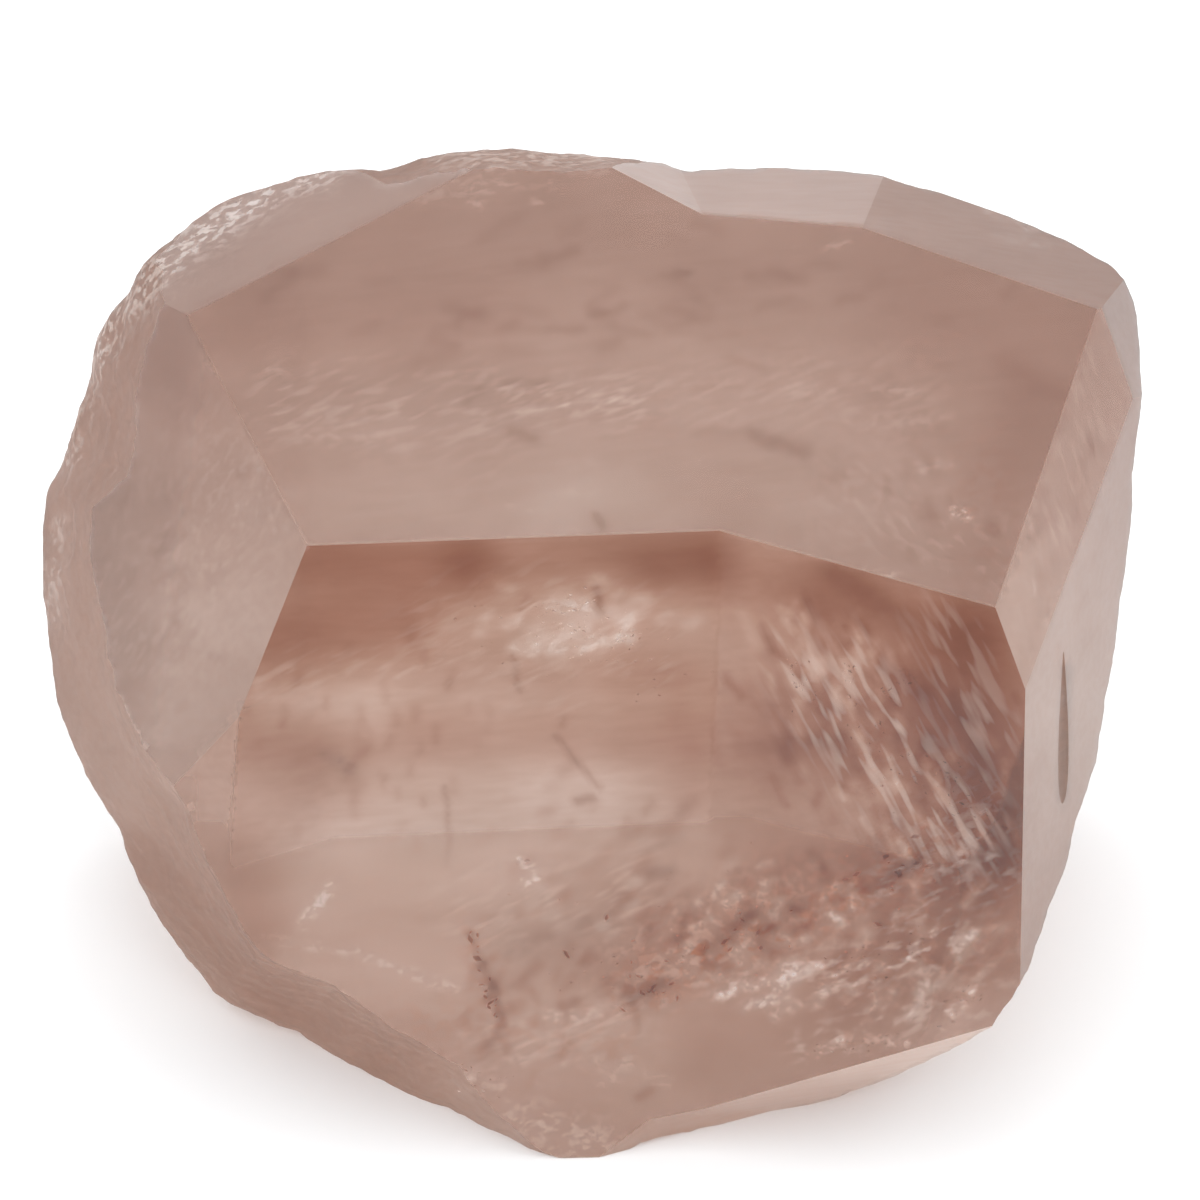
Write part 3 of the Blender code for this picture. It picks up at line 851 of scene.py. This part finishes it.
# Amount: milk is the bruised white of the rim, and also takes the painted glints laid among the marks
# below; rusty, the specks on the old break. Falling and rising are the feathers that fall or rise to the
# right.
PATCHES = {
    "milk_and_glints": {
        "seen": """
60 450 70 400 20 .5; 80 380 110 320 20 .5; 120 310 170 260 20 .45; 180 250 260 195 16 .5
260 190 330 172 14 .4; 440 158 600 158 12 .35; 60 520 50 620 10 .25; 650 960 900 860 38 .25
900 880 990 860 40 .25; 930 960 990 940 30 .2; 520 1120 600 1145 22 .15; 1066 690 1064 790 6 .2""",
    },
    "rusty": {
        "front": """
640 985 840 900 30 .7; 690 955 780 930 20 1; 840 900 930 850 24 .8; 620 1000 665 1000 14 .6
470 930 500 1030 16 .5; 880 740 980 800 50 .4; 420 1020 620 1040 30 .3""",
        "roof": "980 470 1000 560 35 .3",
    },
    "falling": {
        "front": """
790 650 830 720 26 1; 850 660 890 730 26 1; 870 760 960 830 45 .8; 940 620 990 720 35 .4""",
        "roof": "860 500 980 560 50 .3",
        "right_bevel": "1090 330 1030 640 60 .3",
    },
    "rising": {
        "front": """
540 615 640 640 35 1; 450 640 560 680 45 .4; 720 990 830 960 16 .9; 830 980 940 940 30 1
810 1045 980 1000 22 1; 890 920 980 860 50 .5; 480 920 640 880 50 .4; 250 685 450 665 24 .5
450 1080 620 1010 24 .5""",
        "roof": "280 400 480 410 45 .5; 500 400 640 400 24 .8; 700 400 900 390 45 .25",
        "left_shoulder": "150 640 230 480 90 .25",
    },
}
WOBBLE = 1.5
CUT_OFF = 3.0
LEAST_RUN = 1e-9


def spots_on(group):
    """The corners on one face, on both fronts, on the broken rim or, for seen, wherever the camera looks."""
    if group == "seen":
        return np.flatnonzero(SEEN)
    if group == "rim":
        return np.flatnonzero((CORNER_KINDS < 0) & SEEN)
    names = ("front_1", "front_2") if group == "front" else (group,)
    return np.flatnonzero(np.isin(CORNER_KINDS, [SIDE_NAMES.index(name) for name in names]))


def touches(group, rows, px, py):
    """For every stroke on a group of faces: the corners that it reaches, how strongly, and its strengths."""
    chosen = spots_on(group)
    x, y = px[chosen], py[chosen]
    for x1, y1, x2, y2, reach, *strengths in rows:
        around = CUT_OFF * reach + WOBBLE
        near = (x > min(x1, x2) - around) & (x < max(x1, x2) + around)
        near &= (y > min(y1, y2) - around) & (y < max(y1, y2) + around)
        run = np.array([x2 - x1, y2 - y1])
        gap = np.stack([x[near] - x1, y[near] - y1], axis=1)
        share = np.clip(gap @ run / max(run @ run, LEAST_RUN), 0.0, 1.0)
        beside = np.linalg.norm(gap - share[:, None] * run, axis=1)
        yield chosen[near], np.exp(-((beside / reach) ** 2)), strengths


def patched(patches):
    """How much of something lies at every corner: the strongest of its patches there."""
    amount = np.zeros(len(CORNERS))
    for group, text in patches.items():
        for spots, soft, (most,) in touches(group, table(text), PX, PY):
            amount[spots] = np.maximum(amount[spots], most * soft)
    return amount


LAYERS = {name: patched(patches) for name, patches in PATCHES.items()}
print("painted:", ", ".join(f"{name} on {int((amount > 0.1).sum())}" for name, amount in LAYERS.items()))

# %% Marks that tell this stone
# The marks that the eye finds first, each listed one by one: deeper, greyer and whiter.
# Most whiter marks are pale veils and feathers; the whitest dots on the front lie on the glitter flakes and
# are painted glints.
MARKS = {
    "roof": """
415 195 510 184 12 0 0 .1; 525 182 555 184 7 0 0 .1; 250 372 300 372 8 0 0 .06; 440 372 492 370 5 0 0 .1
303 413 350 421 3.5 0 0 .1; 300 432 390 438 5 0 0 .08; 510 400 610 398 14 0 0 .05
465 401 480 388 4 .1 .1 0; 505 384 545 381 4 .1 .1 0; 510 432 535 439 5 .12 .1 0
552 328 582 328 5 .1 .05 0; 590 311 603 313 5 .1 .05 0; 676 270 688 272 4 .12 .1 0
757 438 806 450 8 .15 .1 0; 700 431 750 434 8 .08 .04 0; 790 385 830 393 6 0 0 .08
860 390 940 392 6 0 0 .08; 850 422 950 420 9 0 0 .06; 920 467 950 462 6 -.05 0 .1
953 511 966 516 4 0 0 .9; 872 576 896 580 6 0 0 .25; 825 247 850 244 4 0 0 .15
594 516 602 528 5 .15 .1 0; 1005 365 1065 395 14 .1 0 0""",
    "rear_slope": """
740 200 770 208 4 0 0 .15; 800 203 848 194 4 0 0 .2; 868 226 890 224 4 0 0 .15; 985 210 1030 228 6 0 0 .2
1000 236 1050 244 5 0 0 .15""",
    "left_shoulder": """
208 387 193 437 5 0 0 .12; 252 450 262 474 4 0 0 .15; 235 500 280 530 12 0 0 .1""",
    "right_bevel": """
1026 575 1036 592 4 0 0 .2; 1072 515 1085 482 5 .1 .05 0""",
    "front": """
255 690 292 667 7 0 0 .08; 290 664 350 670 8 0 0 .07; 400 678 445 652 6 0 0 .06
478 590 492 576 6 0 0 .15; 548 604 588 606 8 -.1 0 .15; 612 646 633 630 6 0 0 .2
520 650 600 645 12 -.1 0 .12; 595 590 600 612 5 .2 .15 0; 514 657 520 690 4 .12 .08 0
556 736 601 787 3.5 .12 .1 0; 577 799 591 798 5 .2 .15 0; 446 786 448 865 3.5 .1 .08 0
326 752 352 768 8 0 .15 .08; 359 705 353 815 6 .06 .02 0; 517 859 530 869 4 0 0 .3
527 885 540 880 5 0 0 .25; 297 928 333 884 5 0 0 .2; 262 938 345 950 4 0 0 .1; 345 950 455 988 5 0 0 .1
468 932 482 965 4 .2 .08 0; 482 965 496 990 6 .25 .1 0; 498 1000 502 1018 4 .15 .06 0
488 1048 502 1030 6 .2 .08 0; 512 952 590 918 8 .03 .08 .04; 563 1004 578 1000 5 .25 .1 0
632 1000 662 985 8 .3 .15 0; 636 1004 636 1030 4 .12 .06 0; 652 874 672 868 6 .1 .2 0
640 850 675 838 5 0 .08 0; 812 852 825 868 5 .2 .08 0; 862 895 890 882 5 .2 0 0; 898 872 925 856 6 .3 0 0
745 920 800 905 7 .1 .12 0; 700 950 722 938 6 .2 .08 0; 725 930 790 928 6 .12 .06 0
705 962 728 970 5 .2 .08 0; 790 657 800 692 5 -.1 0 .06; 797 680 810 706 6 -.1 0 .06
813 656 822 703 4 -.1 0 .06; 845 660 840 700 7 -.1 0 .07; 871 730 878 800 4 -.1 0 .1
858 786 872 820 4 -.1 0 .1; 881 716 888 738 4 -.1 0 .06; 787 715 799 735 5 -.1 0 .05
888 692 897 699 4 0 0 .8; 902 668 914 678 4 0 0 .4; 979 812 988 807 4 0 0 .9; 921 827 935 812 4 0 0 .35
835 572 905 620 14 .15 .05 0; 762 628 772 650 5 .12 .08 0; 806 600 812 622 5 .12 .06 0
742 750 835 738 9 .1 .03 0; 545 1018 615 1008 6 0 0 .1; 720 996 820 966 5 -.1 0 .3
828 982 870 942 5 -.1 0 .3; 875 970 932 942 5 -.1 0 .3; 812 1052 845 1039 4 0 0 .35
845 1039 905 1042 4 0 0 .35; 937 1026 978 990 6 0 0 .3; 640 1098 652 1092 5 .2 .08 0
447 1070 502 1088 6 0 0 .12; 340 1030 366 1043 4 0 0 .14""",
}
print("hand-laid marks:", sum(len(table(text)) for text in MARKS.values()))

# %% [markdown]
# Between the marks lie hundreds of small ones that nobody could tell apart. They are strewn by chance
# inside patches, each with its own usual direction, from a fixed seed, so that they fall the same way each
# time.

# %% Strewn marks
# Small marks: middle, half width and half height of the patch, how many, turn in degrees, length, width,
# deeper, greyer and whiter.
STREWN = {
    "roof": """
480 420 230 90 40 4 34 7 0 0 .02; 850 410 220 90 40 8 30 7 .02 0 .02; 640 290 380 80 60 6 26 6 .05 .02 0
940 500 70 70 30 -55 12 5 .06 .02 0; 260 200 80 18 24 20 12 4 0 0 .15; 480 188 80 14 24 5 10 4 0 0 .1""",
    "left_shoulder": "150 560 90 180 50 40 14 6 .04 .03 0",
    "right_bevel": "1060 520 50 120 24 70 22 5 .06 .03 0",
    "right_prism": "1080 620 50 220 26 82 26 6 .03 0 0",
    "front": """
580 625 90 45 50 20 9 6 -.1 0 .04; 830 690 90 80 50 -65 24 5 -.15 0 0; 830 690 90 80 50 -65 24 5 .1 0 0
740 930 160 40 60 25 9 5 .15 0 0; 780 910 190 60 60 25 12 5 -.15 0 0; 920 820 100 110 60 -55 14 5 -.2 0 0
900 740 90 90 60 -65 18 5 .12 0 0; 930 930 90 60 50 45 24 5 -.15 0 0
880 985 120 40 50 35 24 4.5 -.1 0 .1; 400 740 160 120 40 75 12 5 .06 .02 0
520 1000 90 70 44 70 9 5 .1 .02 0; 560 1060 100 40 30 10 18 6 0 0 .04
640 860 160 90 50 30 12 6 .06 .03 0""",
}
STREWN_SEED = 8
TURN_SPREAD = 0.3
PASSES = 2.0


def varied(rng, number, least, spread):
    """Random numbers between least and least + spread."""
    return least + spread * rng.random(number)


def mark_rows():
    """The listed marks of each face, followed by the strewn ones."""
    rng = np.random.default_rng(STREWN_SEED)
    rows = {group: table(text).tolist() for group, text in MARKS.items()}
    for group, text in STREWN.items():
        for x, y, half_wide, half_high, number, turn, long, wide, *strengths in table(text):
            number = int(number)
            middle = np.array([x, y]) + rng.normal(size=(number, 2)) * np.array([half_wide, half_high]) * 0.5
            way = np.radians(turn) + rng.normal(size=number) * TURN_SPREAD
            half = 0.5 * long * varied(rng, number, 0.4, 1.2)
            run = np.stack([np.cos(way), -np.sin(way)], axis=1) * half[:, None]
            strength = varied(rng, number, 0.4, 1.2)[:, None] * np.array(strengths)
            width = wide * varied(rng, number, 0.7, 0.6)[:, None]
            marks = np.concatenate([middle - run, middle + run, width, strength], axis=1)
            rows.setdefault(group, []).extend(marks.tolist())
    return rows


marks = mark_rows()
print("with the strewn ones:", sum(len(rows) for rows in marks.values()))

# %% [markdown]
# Now everything is laid on the corners: first the tone of each face, then the broad strokes, then the
# marks. The places of the marks wander a little, so that no line looks ruled.

# %% Tones on the corners
def face_tones():
    """How deep, grey and frosted every corner is before any stroke is laid."""
    deep, grey = np.zeros((2, len(CORNERS)))
    frost = np.full(len(CORNERS), BROKEN_FROST)
    rim = (CORNER_KINDS < 0) & SEEN
    deep[rim], grey[rim] = RIM_TONE
    for number, name in enumerate(SIDE_NAMES):
        here = CORNER_KINDS == number
        frost[here], deep[here], grey[here] = FROST_AND_SHADE[name]
    rear = [SIDE_NAMES.index(name) for name in REAR_SIDES]
    back = (np.isin(CORNER_KINDS, rear) | (CORNER_KINDS < 0)) & ~SEEN & (CORNERS[:, 1] > 0.0)
    upward = np.interp(CORNERS[:, 2] / MM, BACK_HEIGHTS, BACK_DEEPER)
    aside = np.clip(np.abs(CORNERS[:, 0]) / BACK_HALF_WIDTH, 0.0, 1.0) ** 2
    deep[back] = (upward + BACK_SIDES * aside)[back]
    return deep, grey, frost


deep, grey, frost = face_tones()
for group, text in SHADES.items():
    for spots, soft, (deeper, greyer) in touches(group, table(text), PX, PY):
        deep[spots] += deeper * soft
        grey[spots] += greyer * soft
milk_and_glints = LAYERS["milk_and_glints"]
bent_x = PX + WOBBLE * (np.sin(PY / 17.0) + 0.6 * np.sin((PX + 2.0 * PY) / 11.0))
bent_y = PY + WOBBLE * (np.sin(PX / 19.0) + 0.5 * np.sin((PY - 2.0 * PX) / 9.0))
for group, rows in marks.items():
    for spots, soft, (deeper, greyer, whiter) in touches(group, rows, bent_x, bent_y):
        deep[spots] += deeper * soft
        grey[spots] += greyer * soft
        milk_and_glints[spots] = np.maximum(milk_and_glints[spots], whiter * soft)
print("deeper than clear on", int((deep > 0.1).sum()), "corners, greyer on", int((grey > 0.1).sum()))

# %% [markdown]
# The painted tones go into the mesh as attributes, numbers that belong to the corners of its triangles,
# where the material can read them by name.

# %% Attributes
# The colour of all the painted tones: stains and rust, painted shade, and painted light where lighter strokes
# take shade away.
stain_and_shade = np.exp(-PASSES * (np.maximum(deep, 0.0)[:, None] * TOPAZ_HUE + np.maximum(grey, 0.0)[:, None]))
stain_and_shade = np.concatenate([stain_and_shade, np.ones((len(stain_and_shade), 1))], axis=1)
for name, values in {"frost": frost, **LAYERS}.items():
    layer = crystal.data.attributes.new(name, "FLOAT", "CORNER")
    layer.data.foreach_set("value", values.astype(np.float32))
layer = crystal.data.attributes.new("stain_and_shade", "FLOAT_COLOR", "CORNER")
layer.data.foreach_set("color", stain_and_shade.astype(np.float32).ravel())
print("attributes:", ", ".join(["frost", *LAYERS, "stain_and_shade"]))

# %% Topaz material
ABSORB_COLOUR = (0.566, 0.24, 0.067, 1.0)
ABSORB_DENSITY = 22.0
# Grains of a noise: their size along x, y and z in mm, how they are turned, the fineness of their detail,
# and where between the lowest and highest values of the noise they begin and are full.
STREAKS = ((2.4, 0.4, 0.4), (0.0, 0.0, 10.0), 2.0, 0.38, 0.62)
CLOUDS = ((6.0, 4.0, 4.0), (0.0, 0.0, 0.0), 1.0, 0.38, 0.62)
CHIPPING = ((0.5, 0.35, 0.35), (0.0, 0.0, 30.0), 3.0, 0.48, 0.6)
SPECKLES = ((0.7, 0.5, 0.5), (0.0, -22.0, 20.0), 2.0, 0.48, 0.6)
FALLING_THREADS = ((2.2, 0.4, 0.4), (0.0, 46.0, -47.0), 1.0, 0.5, 0.66)
RISING_THREADS = ((2.2, 0.4, 0.4), (0.0, -22.0, 20.0), 2.0, 0.5, 0.66)
# The grains and how strongly each darkens the stone.
GRAINS = ((STREAKS, 0.35), (CLOUDS, 0.55))
GRAIN_COLOUR = (0.82, 0.74, 0.68, 1.0)
RUST_COLOUR = (0.8, 0.4, 0.2, 1.0)
FEATHER_COLOUR = (1.0, 0.95, 0.90, 1.0)
FEATHER_SHARE = 0.55
FEATHER_MILK = 0.1
LEAST_CHIPPING = 0.15


def noise_share(tree, size, turn, detail, begin, full):
    """A noise in the stone's own space, spread out to run from nothing to one."""
    place = tree.nodes.new("ShaderNodeTexCoord").outputs["Object"]
    scale = tree.nodes.new("ShaderNodeMapping")
    scale.vector_type = "TEXTURE"
    turned = {"Rotation": tuple(np.radians(turn)), "Scale": tuple(np.array(size) * MM)}
    wire(tree, scale, {"Vector": place, **turned})
    noise = tree.nodes.new("ShaderNodeTexNoise")
    wire(tree, noise, {"Vector": scale.outputs["Vector"], "Scale": 1.0, "Detail": detail})
    spread = tree.nodes.new("ShaderNodeMapRange")
    wire(tree, spread, {"Value": noise.outputs["Fac"], "From Min": begin, "From Max": full})
    return spread.outputs["Result"]


def joined(tree, operation, first, second):
    """The output of a small sum of two outputs or plain numbers."""
    node = tree.nodes.new("ShaderNodeMath")
    node.operation = operation
    return wire(tree, node, {0: first, 1: second}).outputs["Value"]


def tinted(tree, blend, share, first, second):
    """The first colour with the second laid over it, by a share."""
    node = tree.nodes.new("ShaderNodeMix")
    node.data_type = "RGBA"
    node.blend_type = blend
    return wire(tree, node, {"Factor": share, "A": first, "B": second}).outputs["Result"]


def painted(tree, name, output="Fac"):
    """One of the layers that were painted on the mesh."""
    node = tree.nodes.new("ShaderNodeAttribute")
    node.attribute_name = name
    return node.outputs[output]


def grained(tree, grain, name):
    """A grain that shows only where its layer was painted."""
    return joined(tree, "MULTIPLY", noise_share(tree, *grain), painted(tree, name))


def topaz_material():
    """Clear Principled shader with a Volume Absorption. Its painted stains and shade are broken up by fine
    grains, lightened where feathers lie and darkened where rust lies, and its milk and painted glints are
    broken up into chips."""
    material, tree, shader = new_material("topaz")
    stain_and_shade = painted(tree, "stain_and_shade", "Color")
    for grain, strength in GRAINS:
        share = joined(tree, "MULTIPLY", noise_share(tree, *grain), strength)
        stain_and_shade = tinted(tree, "MULTIPLY", share, stain_and_shade, GRAIN_COLOUR)
    falling = grained(tree, FALLING_THREADS, "falling")
    feathers = joined(tree, "MAXIMUM", falling, grained(tree, RISING_THREADS, "rising"))
    stain_and_shade = tinted(tree, "MIX", joined(tree, "MULTIPLY", feathers, FEATHER_SHARE), stain_and_shade, FEATHER_COLOUR)
    stain_and_shade = tinted(tree, "MULTIPLY", grained(tree, SPECKLES, "rusty"), stain_and_shade, RUST_COLOUR)
    chips = joined(tree, "ADD", noise_share(tree, *CHIPPING), LEAST_CHIPPING)
    white = joined(tree, "MULTIPLY", painted(tree, "milk_and_glints"), chips)
    white = joined(tree, "ADD", white, joined(tree, "MULTIPLY", feathers, FEATHER_MILK))
    clear = joined(tree, "SUBTRACT", 1.0, white)
    look = {"Base Color": stain_and_shade, "Roughness": painted(tree, "frost"), "Transmission Weight": clear}
    wire(tree, shader, {"IOR": TOPAZ_INDEX, **look})
    absorb = tree.nodes.new("ShaderNodeVolumeAbsorption")
    wire(tree, absorb, {"Color": ABSORB_COLOUR, "Density": ABSORB_DENSITY})
    wire(tree, tree.nodes["Material Output"], {"Volume": absorb.outputs["Volume"]})
    return material


crystal.data.materials.append(topaz_material())
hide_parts("topaz_crystal")
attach(crystal, "root")
print("nodes in the topaz:", len(crystal.data.materials[0].node_tree.nodes))

# %% [markdown]
# ## Inside the stone
# Two kinds of small things lie inside as real shapes: flakes of healed cracks, which glitter, and rusty
# grains along an old fracture. Each kind is a swarm. A flake is a flattened grain with eight sides, so it
# is closed and cheap, and a swarm is scattered along strokes of the picture at a chosen depth behind the
# face.

# %% Flakes
PIXEL = 0.044 * MM
TO_LIGHT = unit(np.array([0.0, -0.38, 0.92]))
FACE_SPREAD = 0.25
SPREAD_DOWN = 0.8
MOST_SKEW = 0.8
THICKNESS = 0.12
OCTAHEDRON = np.array(
    [[0, 1, 4], [1, 2, 4], [2, 3, 4], [3, 0, 4], [1, 0, 5], [2, 1, 5], [3, 2, 5], [0, 3, 5]]
)


def flake_swarm(name, strokes, material, seed, turn_spread):
    """One mesh of all the flakes. Each stroke: from and to in the picture, spread, depth in mm, how many, and
    their size in picture pixels."""
    rng = np.random.default_rng(seed)
    corners = []
    for x1, y1, x2, y2, spread, depth, number, size in table(strokes):
        number = int(number)
        share = rng.random(number)
        px = x1 + share * (x2 - x1) + rng.normal(size=number) * spread
        py = y1 + share * (y2 - y1) + rng.normal(size=number) * spread * SPREAD_DOWN
        centre = look_in(px, py, depth * MM * varied(rng, number, 0.75, 0.5))
        turn = np.arctan2(y1 - y2, x2 - x1) + rng.normal(size=number) * turn_spread
        along = np.cos(turn)[:, None] * view_right + np.sin(turn)[:, None] * view_up
        face = unit(TO_LIGHT + rng.normal(size=(number, 3)) * FACE_SPREAD)
        along = unit(along - np.sum(along * face, axis=1, keepdims=True) * face)
        across = np.cross(face, along)
        long = size * PIXEL * (0.5 + rng.random(number) ** 2 * 1.5)[:, None]
        wide = long * varied(rng, number, 0.25, 0.35)[:, None]
        skew = (rng.random((number, 1)) - 0.5) * MOST_SKEW
        tip, side, top = along * long, across * wide + along * long * skew, face * wide * THICKNESS
        ends = [centre + tip, centre + side, centre - tip, centre - side, centre + top, centre - top]
        corners.append(np.stack(ends, axis=1))
    corners = np.concatenate(corners)
    faces = (OCTAHEDRON + 6 * np.arange(len(corners))[:, None, None]).reshape(-1, 3)
    mesh = bpy.data.meshes.new(name)
    mesh.from_pydata(corners.reshape(-1, 3).tolist(), [], faces.tolist())
    mesh.materials.append(material)
    obj = placed(name, mesh)
    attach(obj, "root")
    print(name, "flakes:", len(corners))


def grain_material(name, colour, roughness, metallic):
    """An opaque grain whose colour varies a little from place to place."""
    material, tree, shader = new_material(name)
    place = tree.nodes.new("ShaderNodeTexCoord").outputs["Object"]
    noise = tree.nodes.new("ShaderNodeTexNoise")
    wire(tree, noise, {"Vector": place, "Scale": COLOUR_NOISE})
    darker = (*[DARKER * part for part in colour], 1.0)
    varying = tinted(tree, "MIX", noise.outputs["Fac"], darker, (*colour, 1.0))
    wire(tree, shader, {"Base Color": varying, "Roughness": roughness, "Metallic": metallic})
    return material


# %% Glitter and rust
COLOUR_NOISE = 900.0
DARKER = 0.75
GLITTER = """
550 605 590 606 9 3 20 1.6; 613 645 634 630 6 3 16 1.8; 540 620 630 640 18 3.5 50 1.2
450 620 700 680 36 4 80 1; 790 655 810 705 8 3 20 1.6; 842 660 850 702 6 3 16 1.6
888 692 912 675 3 1 12 1.8; 866 720 880 815 9 3 30 1.5; 908 760 985 812 14 3 50 1.6
517 860 531 867 3 3 6 1.8; 812 1050 905 1040 5 1 30 1.6; 830 975 925 945 12 1 40 1.4
937 1022 978 990 9 1 30 1.6; 449 1070 503 1088 8 1 24 1.4; 560 990 700 880 40 4 50 1.2
"""
RUST = """
469 931 482 960 3 2 6 3; 482 965 497 1020 5 2 12 3; 620 985 933 860 26 4 50 3; 897 872 924 860 4 3 6 3
632 998 662 985 5 2 8 3.5
"""
GLITTER_SEED = 3
RUST_SEED = 5
bright_flake = grain_material("bright_flake", (0.95, 0.90, 0.87), 0.25, 1.0)
rusty_grain = grain_material("rusty_grain", (0.6, 0.28, 0.16), 0.6, 0.0)
flake_swarm("glitter", GLITTER, bright_flake, GLITTER_SEED, 0.35)
flake_swarm("rust", RUST, rusty_grain, RUST_SEED, 0.8)

# %% [markdown]
# Light needs many turns to find its way out of a clear stone, so the path of a ray is allowed to be long.

# %% Finish
BOUNCES = 20
bpy.context.scene.cycles.max_bounces = BOUNCES
bpy.context.scene.cycles.transmission_bounces = BOUNCES
bpy.context.scene.cycles.glossy_bounces = BOUNCES
